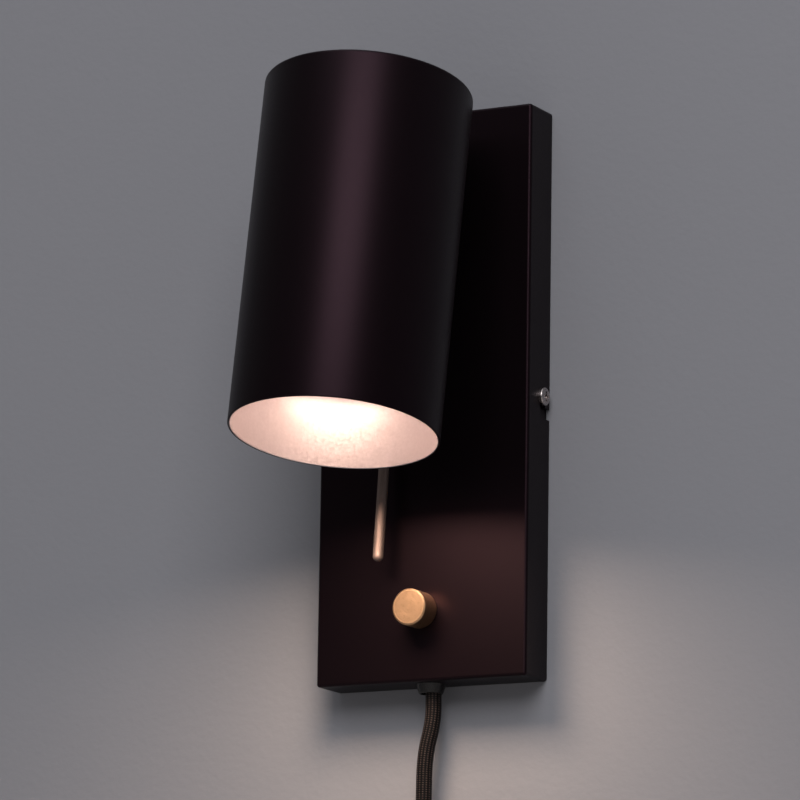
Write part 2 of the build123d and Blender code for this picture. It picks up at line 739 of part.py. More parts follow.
ear_inner = fork_ear_inside - face_gap
ear_outer = fork_ear_inside + fork_ear_thickness + face_gap
tab_outer = tab_inside + tab_thickness
with BuildPart() as pivot_screws:
    with BuildSketch(hinge_side.offset(ear_outer)):
        Circle(pivot_head / 2)
    extrude(amount=pivot_head_height)
    with BuildSketch(hinge_side.offset(tab_outer)):
        Circle(pivot_shoulder / 2)
    extrude(amount=ear_outer - tab_outer)
    with BuildSketch(hinge_side.offset(tab_inside)):
        Circle(pivot_thread / 2)
    extrude(amount=tab_thickness)
    with BuildSketch(hinge_side.offset(ear_outer + pivot_head_height)):
        RegularPolygon(radius=pivot_head / 5, side_count=6, major_radius=False)
    extrude(amount=-pivot_head_height / 2, mode=Mode.SUBTRACT)
    mirror(about=Plane.YZ)

with BuildPart() as friction_washers:
    with BuildSketch(hinge_side.offset(tab_outer)):
        ring(2 * ear_radius, pivot_shoulder)
    extrude(amount=ear_inner - tab_outer)
    mirror(about=Plane.YZ)

with BuildPart() as lead_bushing:
    with BuildSketch(hinge_plane.offset(saddle_face - bushing_flange_thickness)):
        ring(bushing_flange, bushing_bore)
    extrude(amount=bushing_flange_thickness)
    with BuildSketch(hinge_plane.offset(saddle_face)):
        ring(bushing_body, bushing_bore)
    extrude(amount=bushing_length)

# ---- Lampholder and its strip ----------------------------------------------------------------------
strip_under = stud_spacing / 2 + stud_nut / 2 + strip_nut_gap  # above the hinge
shade_axis_depth = hinge_gap + shade_radius
with BuildPart() as holder_bracket:
    with BuildSketch(hinge_side):
        with Locations((-strip_face, -strip_foot)):
            Rectangle(
                strip_sheet, strip_foot + strip_under + strip_sheet, align=(Align.MAX, Align.MIN)
            )
        with Locations((-strip_face, strip_under)):
            Rectangle(
                shade_axis_depth + strip_overhang - strip_face, strip_sheet, align=(Align.MAX, Align.MIN)
            )
        outer_corner = vertices().sort_by(lambda v: v.X + v.Y)[-1]
        fillet(outer_corner, strip_bend)
    extrude(amount=strip_width / 2, both=True)
    with BuildSketch(hinge_plane.offset(strip_face)):
        Circle(bushing_body / 2)
        with GridLocations(0, stud_spacing, 1, 2):
            Circle(stud / 2)
    extrude(amount=strip_sheet, mode=Mode.SUBTRACT)
    with BuildSketch(shade_plane.offset(hinge_rise + strip_under)):
        with GridLocations(0, holder_screw_spacing, 1, 2):
            Circle(holder_screw / 2)
    extrude(amount=strip_sheet, mode=Mode.SUBTRACT)

holder_top = hinge_rise + strip_under
holder_bottom = holder_top - holder_height
entry_height = holder_top - lead_entry
with BuildPart() as lampholder:
    with BuildSketch(shade_plane.offset(holder_bottom)):
        Circle(holder_diameter / 2)
    extrude(amount=holder_height)
    along_shade = Axis(shade_plane.origin, shade_plane.z_dir)
    chamfer(edges().filter_by(GeomType.CIRCLE).sort_by(along_shade), holder_edge)
    with BuildSketch(shade_plane.offset(holder_bottom)):
        with GridLocations(pin_spacing, 0, 2, 1):
            Circle(pin_head / 2 + pin_socket_gap)
    extrude(amount=pin_neck_length + pin_head_length + free_gap, mode=Mode.SUBTRACT)
    with BuildSketch(shade_plane.offset(holder_top)):
        with GridLocations(0, holder_screw_spacing, 1, 2):
            Circle(holder_screw / 2)
    extrude(amount=-holder_screw_length + strip_sheet, mode=Mode.SUBTRACT)
    with BuildSketch(hinge_plane.offset(shade_axis_depth - holder_diameter / 2)):
        with Locations((0, entry_height - hinge_rise)):
            with GridLocations(2 * lead_pitch + lead_diameter, 0, 2, 1):
                Circle(lead_diameter / 2 + running_gap)
    extrude(amount=lead_entry, mode=Mode.SUBTRACT)

with BuildPart() as holder_screws:
    for offset_y in (-holder_screw_spacing / 2, holder_screw_spacing / 2):
        seat_point = shade_plane.offset(holder_top + strip_sheet).from_local_coords((0, offset_y, 0))
        seat = Plane(origin=seat_point, x_dir=(1, 0, 0), z_dir=shade_up)
        cross_screw(seat, holder_screw, holder_screw_length, holder_screw_head, holder_screw_head_height)

with BuildPart() as head_leads:
    for side in (-1, 1):
        entry_x = side * (lead_pitch + lead_diameter / 2)
        entry_y = entry_height - hinge_rise
        entry_depth = shade_axis_depth - holder_diameter / 2
        local_route = [
            (side * half_pitch, 0, lead_gap),
            (side * half_pitch, 0, bushing_length + saddle_face + 4.0),
            (side * half_pitch * 1.6, entry_y * 0.4, entry_depth - 9.0),
            (entry_x, entry_y, entry_depth - 2.0),
            (entry_x, entry_y, entry_depth + 4.0),
        ]
        round_lead([hinge_plane.from_local_coords(point) for point in local_route], lead_diameter)

# ---- Bulb ------------------------------------------------------------------------------------------
bulb_radius = bulb_diameter / 2
shade_section = Plane(origin=shade_foot, x_dir=(1, 0, 0), z_dir=-to_wall)
with BuildPart() as bulb_body:
    with BuildSketch(shade_section):
        with BuildLine():
            top = (bulb_neck / 2, holder_bottom)
            neck = (bulb_neck / 2, holder_bottom - bulb_neck_length)
            shoulder = (bulb_radius, holder_bottom - bulb_length + bulb_rim)
            rim = (bulb_radius, holder_bottom - bulb_length)
            Line((0, holder_bottom), top)
            Line(top, neck)
            TangentArc(shoulder, neck, tangent=(0.0, 1.0))
            Line(shoulder, rim)
            Polyline(rim, (0, holder_bottom - bulb_length), (0, holder_bottom))
        make_face()
    revolve(axis=Axis(shade_plane.origin, shade_plane.z_dir))
    fillet(edges().filter_by(GeomType.CIRCLE).sort_by(along_shade)[0], bulb_edge)
    with BuildSketch(shade_plane.offset(holder_bottom - bulb_length)):
        Circle(lens_diameter / 2 + lens_gap)
    extrude(amount=lens_recess + lens_thickness, mode=Mode.SUBTRACT)

with BuildPart() as bulb_lens:
    with BuildSketch(shade_plane.offset(holder_bottom - bulb_length + lens_recess)):
        Circle(lens_diameter / 2)
    extrude(amount=lens_thickness)

with BuildPart() as bulb_pins:
    with BuildSketch(shade_plane.offset(holder_bottom)):
        with GridLocations(pin_spacing, 0, 2, 1):
            Circle(pin_neck / 2)
    extrude(amount=pin_neck_length)
    with BuildSketch(shade_plane.offset(holder_bottom + pin_neck_length)):
        with GridLocations(pin_spacing, 0, 2, 1):
            Circle(pin_head / 2)
    extrude(amount=pin_head_length)

# ---- Cord ------------------------------------------------------------------------------------------
# The cord comes out on the right of its bushing, swings left and hangs, then turns into the coil.
cord_points = [
    (cord_rest, -gland_out, cord_start),
    (cord_rest, -gland_out, cord_start - 3.3),
    (cord_rest + 0.15, -gland_out - 0.05, cord_start - 9.3),
    (0.48, -8.8, cord_start - 15.3),
    (-1.1, -9.15, cord_start - 21.7),
    (-1.85, -9.35, cord_start - 28.7),
    (-1.95, -9.45, cord_start - 37.2),
    (-1.95, -9.5, cord_start - 45.2),
    (-4.1, -9.5, cord_start - 54.7),
    (-8.2, -9.5, cord_start - 63.3),
    (-14.2, -9.5, cord_start - 70.7),
    (-20.8, -9.5, cord_start - 77.3),
]
with BuildPart() as cord_lead:
    round_lead(cord_points, cord_diameter)

# The coil is a two-centre spiral: half turns, each of two quarter arcs. It winds in and out again,
# and moves a layer outwards from the wall in the half turn where it reverses.
heading = Vector(cos(radians(coil_heading)), 0, sin(radians(coil_heading)))
outwards = Vector(sin(radians(coil_heading)), 0, -cos(radians(coil_heading)))
coil_entry = Vector(*cord_points[-1])
coil_begin = coil_entry + heading * cord_diameter
coil_centre = coil_begin - outwards * coil_outer
half_turn_points = [coil_begin]
for step in range(1, coil_layers * (coil_half_turns + 1)):
    layer, stride = divmod(step, coil_half_turns + 1)
    wound_in = stride if layer % 2 == 0 else coil_half_turns - stride
    radius = coil_outer - wound_in * coil_pitch / 2
    side = 1 if step % 2 == 0 else -1
    half_turn_points.append(
        coil_centre + outwards * (side * radius) - Vector(0, 1, 0) * (layer * coil_layer_pitch)
    )
last_layer = Vector(0, 1, 0) * ((coil_layers - 1) * coil_layer_pitch + coil_tail_climb)
half_turn_points.append(coil_centre + outwards * coil_outer - last_layer)
tail_centre = coil_centre - last_layer
tail_begin = tail_centre - Vector(coil_outer, 0, 0)
plug_entry = tail_begin - Vector(0, 0, cord_diameter)

with BuildPart() as cord_coil:
    with BuildLine() as coil_line:
        Line(coil_entry, coil_begin)
        going = heading
        for start, end in zip(half_turn_points, half_turn_points[1:]):
            span = end - start
            middle = start + span / 2 + going * (span.length / 2)
            TangentArc(start, middle, tangent=going)
            TangentArc(middle, end, tangent=span)
            going = -going
        TangentArc(half_turn_points[-1], tail_begin, tangent=going)
        Line(tail_begin, plug_entry)
    with BuildSketch(Plane(origin=coil_entry, z_dir=heading)):
        Circle(cord_diameter / 2)
    sweep()

# Tie round the bundle, at the bottom of the coil.
tie_inner = coil_outer - coil_half_turns * coil_pitch / 2 - cord_diameter / 2
tie_radial = coil_outer + cord_diameter / 2 - tie_inner
tie_deep = (coil_layers - 1) * coil_layer_pitch + cord_diameter + 2 * tie_gap
tie_centre = coil_centre + Vector(
    -tie_width / 2, -(coil_layers - 1) * coil_layer_pitch / 2, -tie_inner - tie_radial / 2
)
with BuildPart() as cord_tie:
    with BuildSketch(Plane(origin=tie_centre, x_dir=(0, 1, 0), z_dir=(1, 0, 0))):
        RectangleRounded(
            tie_deep + 2 * tie_thickness, tie_radial + 2 * tie_thickness, tie_corner + tie_thickness
        )
        RectangleRounded(tie_deep, tie_radial, tie_corner, mode=Mode.SUBTRACT)
    extrude(amount=tie_width)

plug_plane = Plane(origin=plug_entry, x_dir=(1, 0, 0), z_dir=(0, 0, -1))
with BuildPart() as plug_body:
    with BuildSketch(plug_plane):
        Circle(plug_neck / 2)
    with BuildSketch(plug_plane.offset(plug_shoulder)):
        RectangleRounded(plug_shoulder_width, plug_thickness - 0.7, plug_corner)
    loft()
    with BuildSketch(plug_plane.offset(plug_shoulder)):
        RectangleRounded(plug_width, plug_thickness, plug_corner)
    extrude(amount=plug_face_length)
    fillet(faces().sort_by(Axis.Z)[0].edges(), plug_edge)
    with BuildSketch(plug_plane.offset(plug_shoulder + plug_face_length)):
        with GridLocations(plug_pin_spacing, 0, 2, 1):
            Circle(plug_pin / 2)
    extrude(amount=-plug_pin_root, mode=Mode.SUBTRACT)

with BuildPart() as plug_pins:
    with BuildSketch(plug_plane.offset(plug_shoulder + plug_face_length - plug_pin_root)):
        with GridLocations(plug_pin_spacing, 0, 2, 1):
            Circle(plug_pin / 2)
    extrude(amount=plug_pin_root + plug_pin_length)
    fillet(edges().filter_by(GeomType.CIRCLE).group_by(Axis.Z)[0], plug_pin_tip)

# ---- Written pieces --------------------------------------------------------------------------------
pieces = {
    "wall_bracket": wall_bracket,
    "ear_nuts": ear_nuts,
    "wall_box": wall_box,
    "side_screws": side_screws,
    "cord_gland": cord_gland,
    "gland_nut": gland_nut_piece,
    "cord_inner": cord_inner,
    "terminal_block": terminal_block,
    "terminal_screws": terminal_screws,
    "terminal_nuts": terminal_nuts,
    "supply_leads": supply_leads,
    "dimmer_leads": dimmer_leads,
    "lamp_leads": lamp_leads,
    "dimmer_body": dimmer_body,
    "dimmer_washer": dimmer_washer,
    "dimmer_nut": dimmer_nut,
    "dimmer_shaft": dimmer_shaft,
    "dimmer_knob": dimmer_knob,
    "knob_set_screw": knob_set_screw,
    "swivel_stem": swivel_stem,
    "swivel_washer": swivel_washer,
    "stem_washer": stem_washer_piece,
    "spring_washer": spring_washer_piece,
    "stem_nut": stem_nut_piece,
    "stop_pin": stop_pin_piece,
    "stem_leads": stem_leads,
    "swivel_fork": swivel_fork,
    "rod_set_screw": rod_set_screw,
    "aiming_rod": aiming_rod,
    "shade": shade,
    "shade_bracket": shade_bracket,
    "bracket_nuts": bracket_nuts,
    "pivot_screws": pivot_screws,
    "friction_washers": friction_washers,
    "lead_bushing": lead_bushing,
    "holder_bracket": holder_bracket,
    "lampholder": lampholder,
    "holder_screws": holder_screws,
    "head_leads": head_leads,
    "bulb_body": bulb_body,
    "bulb_lens": bulb_lens,
    "bulb_pins": bulb_pins,
    "cord_lead": cord_lead,
    "cord_coil": cord_coil,
    "cord_tie": cord_tie,
    "plug_body": plug_body,
    "plug_pins": plug_pins,
}
os.makedirs("parts", exist_ok=True)
for name, piece in pieces.items():
    piece.part.label = name
    export_step(piece.part, f"parts/{name}.step")

# ---- Measures of the cord --------------------------------------------------------------------------
section_area = pi * cord_diameter**2 / 4
lead_length = cord_lead.part.volume / section_area
coil_length = coil_line.wires()[0].length
print("cord bend radii", [round(radius, 1) for radius in bend_radii(cord_points)])
print("cord lead length", round(lead_length, 1))
print("coil length", round(coil_length, 1), "by volume", round(cord_coil.part.volume / section_area, 1))
coil_wire = coil_line.wires()[0]
samples = 900
spacing = coil_length / samples
along_coil = [coil_wire.position_at(index / samples) for index in range(samples + 1)]
skip = int(4 * cord_diameter / spacing)
least = min(
    (along_coil[first] - along_coil[second]).length
    for first in range(samples + 1)
    for second in range(first + skip, samples + 1)
)
print("least gap of the coil to itself", round(least - cord_diameter, 2))
plug_face = plug_entry - Vector(0, 0, plug_shoulder + plug_face_length)
print("plug face", [round(value, 2) for value in plug_face])
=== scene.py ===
import logging
import math
from dataclasses import dataclass, field
from enum import Enum
from typing import Callable

import bmesh
import bpy
from mathutils import Matrix, Vector

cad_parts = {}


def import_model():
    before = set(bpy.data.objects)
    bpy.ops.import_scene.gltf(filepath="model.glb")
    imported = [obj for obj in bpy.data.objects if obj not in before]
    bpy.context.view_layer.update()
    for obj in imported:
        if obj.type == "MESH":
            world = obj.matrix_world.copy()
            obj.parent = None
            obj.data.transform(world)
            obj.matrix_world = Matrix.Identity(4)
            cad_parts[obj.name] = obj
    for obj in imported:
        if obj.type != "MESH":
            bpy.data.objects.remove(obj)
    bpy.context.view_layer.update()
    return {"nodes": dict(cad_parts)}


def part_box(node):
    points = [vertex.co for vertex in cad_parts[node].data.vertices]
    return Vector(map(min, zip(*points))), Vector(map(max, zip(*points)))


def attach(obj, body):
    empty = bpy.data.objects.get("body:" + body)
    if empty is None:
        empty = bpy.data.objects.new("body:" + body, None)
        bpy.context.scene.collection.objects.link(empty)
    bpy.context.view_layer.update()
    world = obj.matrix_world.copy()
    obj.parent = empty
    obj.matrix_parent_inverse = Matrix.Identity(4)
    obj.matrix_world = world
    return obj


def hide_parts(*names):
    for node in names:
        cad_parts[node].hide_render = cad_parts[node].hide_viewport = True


LOG = logging.getLogger("reading_lamp")
MM = 0.001
TOUCH = 1e-6  # metres; points nearer than this are at one place
SAME_RING = 1e-5  # metres; points whose distances from the axis differ by less are on one ring
SMOOTH_ANGLE = math.radians(35)  # edges that turn more than this stay sharp
NOISE_LOW, NOISE_HIGH = 0.3, 0.7  # nearly all values of a noise texture lie between these


class Grain(Enum):
    """Which way the fine lines of a metal run, as the scale of its pattern along X, Y and Z."""

    EVEN = (1.0, 1.0, 1.0)
    UPRIGHT = (1.0, 1.0, 0.06)
    OUTWARD = (1.0, 0.06, 1.0)


# ---- Small helpers ---------------------------------------------------------------------------------


def linear(code: str) -> tuple[float, float, float, float]:
    """Turn an sRGB hex code into a linear colour.

    Args:
        code: Six hex digits, with or without a leading hash.

    Returns:
        Linear red, green, blue and an alpha of one.
    """
    digits = code.lstrip("#")
    channels = [int(digits[i:i + 2], 16) / 255 for i in (0, 2, 4)]
    curve = [c / 12.92 if c <= 0.04045 else ((c + 0.055) / 1.055) ** 2.4 for c in channels]
    return (curve[0], curve[1], curve[2], 1.0)


def add_node(tree: bpy.types.NodeTree, kind: str, settings: dict | None = None,
             inputs: dict | None = None) -> bpy.types.Node:
    """Add one node with its settings, socket values and links.

    Args:
        tree: Node tree that the node goes into.
        kind: Node type, such as ShaderNodeMath.
        settings: Attributes of the node.
        inputs: Socket name or index to a value, or to an output socket that it is linked from.

    Returns:
        The new node.
    """
    node = tree.nodes.new(kind)
    for name, value in (settings or {}).items():
        setattr(node, name, value)
    for name, value in (inputs or {}).items():
        if isinstance(value, bpy.types.NodeSocket):
            tree.links.new(value, node.inputs[name])
        else:
            node.inputs[name].default_value = value
    return node


def new_material(name: str) -> tuple[bpy.types.Material, bpy.types.NodeTree, bpy.types.Node]:
    """Start a material with only its output node.

    Args:
        name: The finish's name.

    Returns:
        The material, its node tree and its output node.
    """
    material = bpy.data.materials.new(name)
    material.use_nodes = True
    material.node_tree.nodes.clear()
    output = material.node_tree.nodes.new("ShaderNodeOutputMaterial")
    return material, material.node_tree, output


def deselect_all() -> None:
    """Leave edit mode and clear the selection, because an operator acts on all that is selected."""
    if bpy.context.object and bpy.context.object.mode != "OBJECT":
        bpy.ops.object.mode_set(mode="OBJECT")
    bpy.ops.object.select_all(action="DESELECT")


def pick_only(piece: bpy.types.Object) -> None:
    """Make one object the only selected and the active one."""
    deselect_all()
    piece.select_set(True)
    bpy.context.view_layer.objects.active = piece


def pick_faces(piece: bpy.types.Object, wanted: Callable[[bmesh.types.BMFace], bool]) -> None:
    """Select faces of the mesh in edit mode by a test.

    Args:
        piece: Object in edit mode.
        wanted: Test that a face has to pass.
    """
    bpy.ops.mesh.select_mode(type="FACE")
    bpy.ops.mesh.select_all(action="DESELECT")
    mesh = bmesh.from_edit_mesh(piece.data)
    for face in mesh.faces:
        face.select_set(wanted(face))
    bmesh.update_edit_mesh(piece.data)


def pick_edges(piece: bpy.types.Object, wanted: Callable[[bmesh.types.BMEdge], bool]) -> None:
    """Select edges of the mesh in edit mode by a test.

    Args:
        piece: Object in edit mode.
        wanted: Test that an edge has to pass.
    """
    bpy.ops.mesh.select_mode(type="EDGE")
    bpy.ops.mesh.select_all(action="DESELECT")
    mesh = bmesh.from_edit_mesh(piece.data)
    for edge in mesh.edges:
        edge.select_set(wanted(edge))
    bmesh.update_edit_mesh(piece.data)


def settle(piece: bpy.types.Object, placed: Matrix) -> None:
    """Put a piece's place into its mesh, clean its doubles and normals, and shade it.

    Args:
        piece: The finished object, modelled about the origin.
        placed: Matrix from the modelling axes to the row frame.
    """
    pick_only(piece)
    piece.data.transform(placed)
    piece.matrix_world = Matrix.Identity(4)
    bpy.ops.object.mode_set(mode="EDIT")
    bpy.ops.mesh.select_all(action="SELECT")
    bpy.ops.mesh.remove_doubles(threshold=TOUCH)
    bpy.ops.mesh.normals_make_consistent(inside=False)
    bpy.ops.object.mode_set(mode="OBJECT")
    bpy.ops.object.shade_smooth_by_angle(angle=SMOOTH_ANGLE)
    deselect_all()


# ---- Finishes --------------------------------------------------------------------------------------


@dataclass(frozen=True)
class PowderCoat:
    """Black polyester powder coat, baked on steel: near black, a plum cast, a fine skin, a soft sheen."""

    name: str = "powder_coat_black"
    body: str = "#040203"
    high: str = "#060405"
    sheen_tone: str = "#ffc8e0"  # the pigment turns what it mirrors face on to plum
    roughness: float = 0.39
    mirror: float = 0.17
    pebble_mm: float = 0.6  # real pebble is about 0.1 mm; drawn coarser so that it shows
    cloud_mm: float = 38.0  # slow change of tone over the sheet
    smoother: float = 0.03  # how far the pattern lowers the roughness
    rougher: float = 0.04  # how far it raises it
    skin: float = 0.05  # strength of the bump
    skin_mm: float = 0.04  # height of the bump

    def build(self) -> bpy.types.Material:
        """Return the material."""
        material, tree, output = new_material(self.name)
        place = add_node(tree, "ShaderNodeTexCoord")
        cloud = add_node(tree, "ShaderNodeTexNoise", None,
                         {"Vector": place.outputs["Object"], "Scale": 1 / (self.cloud_mm * MM),
                          "Detail": 3.0})
        pebble = add_node(tree, "ShaderNodeTexNoise", None,
                          {"Vector": place.outputs["Object"], "Scale": 1 / (self.pebble_mm * MM),
                           "Detail": 2.0})
        colour = add_node(tree, "ShaderNodeMix", {"data_type": "RGBA"},
                          {"Factor": cloud.outputs["Fac"], 6: linear(self.body), 7: linear(self.high)})
        rough = add_node(tree, "ShaderNodeMapRange", None,
                         {"Value": pebble.outputs["Fac"], "From Min": NOISE_LOW, "From Max": NOISE_HIGH,
                          "To Min": self.roughness - self.smoother,
                          "To Max": self.roughness + self.rougher})
        skin = add_node(tree, "ShaderNodeBump", None,
                        {"Height": pebble.outputs["Fac"], "Strength": self.skin,
                         "Distance": self.skin_mm * MM})
        shader = add_node(tree, "ShaderNodeBsdfPrincipled", None,
                          {"Base Color": colour.outputs[2], "Roughness": rough.outputs[0],
                           "Normal": skin.outputs[0], "IOR": 1.5, "Specular IOR Level": self.mirror,
                           "Specular Tint": linear(self.sheen_tone)})
        tree.links.new(shader.outputs[0], output.inputs[0])
        return material


@dataclass(frozen=True)
class AluminiumLacquer:
    """Aluminium-pigment lacquer sprayed inside the shade: pale, faintly pink, satin, finely grained."""

    name: str = "aluminium_lacquer_pale"
    body: str = "#cbc1c2"
    high: str = "#dcd2d3"
    roughness: float = 0.33
    metal: float = 0.85  # share of pigment flakes that mirror
    grain_mm: float = 1.1  # droplets are about 0.3 mm; drawn coarser so that they show
    spread: float = 0.05  # of the roughness, each way
    skin: float = 0.2
    skin_mm: float = 0.08

    def build(self) -> bpy.types.Material:
        """Return the material."""
        material, tree, output = new_material(self.name)
        place = add_node(tree, "ShaderNodeTexCoord")
        grain = add_node(tree, "ShaderNodeTexNoise", None,
                         {"Vector": place.outputs["Object"], "Scale": 1 / (self.grain_mm * MM),
                          "Detail": 3.0})
        colour = add_node(tree, "ShaderNodeMix", {"data_type": "RGBA"},
                          {"Factor": grain.outputs["Fac"], 6: linear(self.body), 7: linear(self.high)})
        rough = add_node(tree, "ShaderNodeMapRange", None,
                         {"Value": grain.outputs["Fac"], "From Min": NOISE_LOW, "From Max": NOISE_HIGH,
                          "To Min": self.roughness - self.spread,
                          "To Max": self.roughness + self.spread})
        skin = add_node(tree, "ShaderNodeBump", None,
                        {"Height": grain.outputs["Fac"], "Strength": self.skin,
                         "Distance": self.skin_mm * MM})
        shader = add_node(tree, "ShaderNodeBsdfPrincipled", None,
                          {"Base Color": colour.outputs[2], "Roughness": rough.outputs[0],
                           "Metallic": self.metal, "Normal": skin.outputs[0]})
        tree.links.new(shader.outputs[0], output.inputs[0])
        return material


@dataclass(frozen=True)
class TurnedBrass:
    """Free-cutting brass turned on a lathe: fine rings about its axis and a few darker tarnish specks."""

    name: str = "turned_brass"
    body: str = "#d3ab86"
    dark: str = "#b48b63"
    roughness: float = 0.38
    ring_mm: float = 0.45  # tool marks, drawn coarser than they are so that they show
    speck_mm: float = 1.1
    speck_start: float = 0.52  # noise values from here on darken
    speck_full: float = 0.95
    smoother: float = 0.08
    rougher: float = 0.1
    skin: float = 0.6
    skin_mm: float = 0.08
    centre: tuple[float, float, float] = (0.0, -0.028, -0.0832)  # middle of the knob's face

    def build(self) -> bpy.types.Material:
        """Return the material."""
        material, tree, output = new_material(self.name)
        place = add_node(tree, "ShaderNodeTexCoord")
        centred = add_node(tree, "ShaderNodeMapping", {"vector_type": "POINT"},
                           {"Vector": place.outputs["Object"],
                            "Location": tuple(-value for value in self.centre)})
        split = add_node(tree, "ShaderNodeSeparateXYZ", None, {0: centred.outputs[0]})
        flat = add_node(tree, "ShaderNodeCombineXYZ", None,
                        {"X": split.outputs["X"], "Y": split.outputs["Z"]})
        reach = add_node(tree, "ShaderNodeVectorMath", {"operation": "LENGTH"}, {0: flat.outputs[0]})
        along = add_node(tree, "ShaderNodeMath", {"operation": "ADD"},
                         {0: reach.outputs["Value"], 1: split.outputs["Y"]})
        turns = add_node(tree, "ShaderNodeMath", {"operation": "MULTIPLY"},
                         {0: along.outputs[0], 1: 1 / (self.ring_mm * MM)})
        rings = add_node(tree, "ShaderNodeTexNoise", {"noise_dimensions": "1D"},
                         {"W": turns.outputs[0], "Scale": 1.0, "Detail": 3.0})
        specks = add_node(tree, "ShaderNodeTexNoise", None,
                          {"Vector": place.outputs["Object"], "Scale": 1 / (self.speck_mm * MM),
                           "Detail": 4.0})
        tarnish = add_node(tree, "ShaderNodeMapRange", None,
                           {"Value": specks.outputs["Fac"], "From Min": self.speck_start,
                            "From Max": self.speck_full})
        colour = add_node(tree, "ShaderNodeMix", {"data_type": "RGBA"},
                          {"Factor": tarnish.outputs[0], 6: linear(self.body), 7: linear(self.dark)})
        rough = add_node(tree, "ShaderNodeMapRange", None,
                         {"Value": rings.outputs["Fac"], "From Min": NOISE_LOW, "From Max": NOISE_HIGH,
                          "To Min": self.roughness - self.smoother,
                          "To Max": self.roughness + self.rougher})
        skin = add_node(tree, "ShaderNodeBump", None,
                        {"Height": rings.outputs["Fac"], "Strength": self.skin,
                         "Distance": self.skin_mm * MM})
        shader = add_node(tree, "ShaderNodeBsdfPrincipled", None,
                          {"Base Color": colour.outputs[2], "Metallic": 1.0, "Roughness": rough.outputs[0],
                           "Normal": skin.outputs[0]})
        tree.links.new(shader.outputs[0], output.inputs[0])
        return material


@dataclass(frozen=True)
class PlatedSteel:
    """Plated steel drawn through a die or turned: satin metal with fine lines along one axis."""

    name: str
    body: str
    dark: str
    roughness: float
    grain: Grain = Grain.EVEN
    line_mm: float = 0.3
    cloud_mm: float = 6.0
    smoother: float = 0.07
    rougher: float = 0.09
    skin: float = 0.15
    skin_mm: float = 0.03

    def build(self) -> bpy.types.Material:
        """Return the material."""
        material, tree, output = new_material(self.name)
        place = add_node(tree, "ShaderNodeTexCoord")
        drawn = add_node(tree, "ShaderNodeMapping", {"vector_type": "POINT"},
                         {"Vector": place.outputs["Object"], "Scale": self.grain.value})
        lines = add_node(tree, "ShaderNodeTexNoise", None,
                         {"Vector": drawn.outputs[0], "Scale": 1 / (self.line_mm * MM), "Detail": 3.0})
        cloud = add_node(tree, "ShaderNodeTexNoise", None,
                         {"Vector": place.outputs["Object"], "Scale": 1 / (self.cloud_mm * MM),
                          "Detail": 2.0})
        colour = add_node(tree, "ShaderNodeMix", {"data_type": "RGBA"},
                          {"Factor": cloud.outputs["Fac"], 6: linear(self.dark), 7: linear(self.body)})
        rough = add_node(tree, "ShaderNodeMapRange", None,
                         {"Value": lines.outputs["Fac"], "From Min": NOISE_LOW, "From Max": NOISE_HIGH,
                          "To Min": self.roughness - self.smoother,
                          "To Max": self.roughness + self.rougher})
        skin = add_node(tree, "ShaderNodeBump", None,
                        {"Height": lines.outputs["Fac"], "Strength": self.skin,
                         "Distance": self.skin_mm * MM})
        shader = add_node(tree, "ShaderNodeBsdfPrincipled", None,
                          {"Base Color": colour.outputs[2], "Metallic": 1.0, "Roughness": rough.outputs[0],
                           "Normal": skin.outputs[0]})
        tree.links.new(shader.outputs[0], output.inputs[0])
        return material


@dataclass(frozen=True)
class MouldedPlastic:
    """Injection-moulded plastic: even colour with a fine spark-eroded grain."""

    name: str
    body: str
    high: str
    roughness: float
    grain_mm: float = 0.5
    skin: float = 0.1
    skin_mm: float = 0.05
    smoother: float = 0.04
    rougher: float = 0.06

    def build(self) -> bpy.types.Material:
        """Return the material."""
        material, tree, output = new_material(self.name)
        place = add_node(tree, "ShaderNodeTexCoord")
        grain = add_node(tree, "ShaderNodeTexNoise", None,
                         {"Vector": place.outputs["Object"], "Scale": 1 / (self.grain_mm * MM),
                          "Detail": 2.0})
        colour = add_node(tree, "ShaderNodeMix", {"data_type": "RGBA"},
                          {"Factor": grain.outputs["Fac"], 6: linear(self.body), 7: linear(self.high)})
        rough = add_node(tree, "ShaderNodeMapRange", None,
                         {"Value": grain.outputs["Fac"], "From Min": NOISE_LOW, "From Max": NOISE_HIGH,
                          "To Min": self.roughness - self.smoother,
                          "To Max": self.roughness + self.rougher})
        skin = add_node(tree, "ShaderNodeBump", None,
                        {"Height": grain.outputs["Fac"], "Strength": self.skin,
                         "Distance": self.skin_mm * MM})
        shader = add_node(tree, "ShaderNodeBsdfPrincipled", None,
                          {"Base Color": colour.outputs[2], "Roughness": rough.outputs[0],
                           "Normal": skin.outputs[0], "IOR": 1.49})
        tree.links.new(shader.outputs[0], output.inputs[0])
        return material


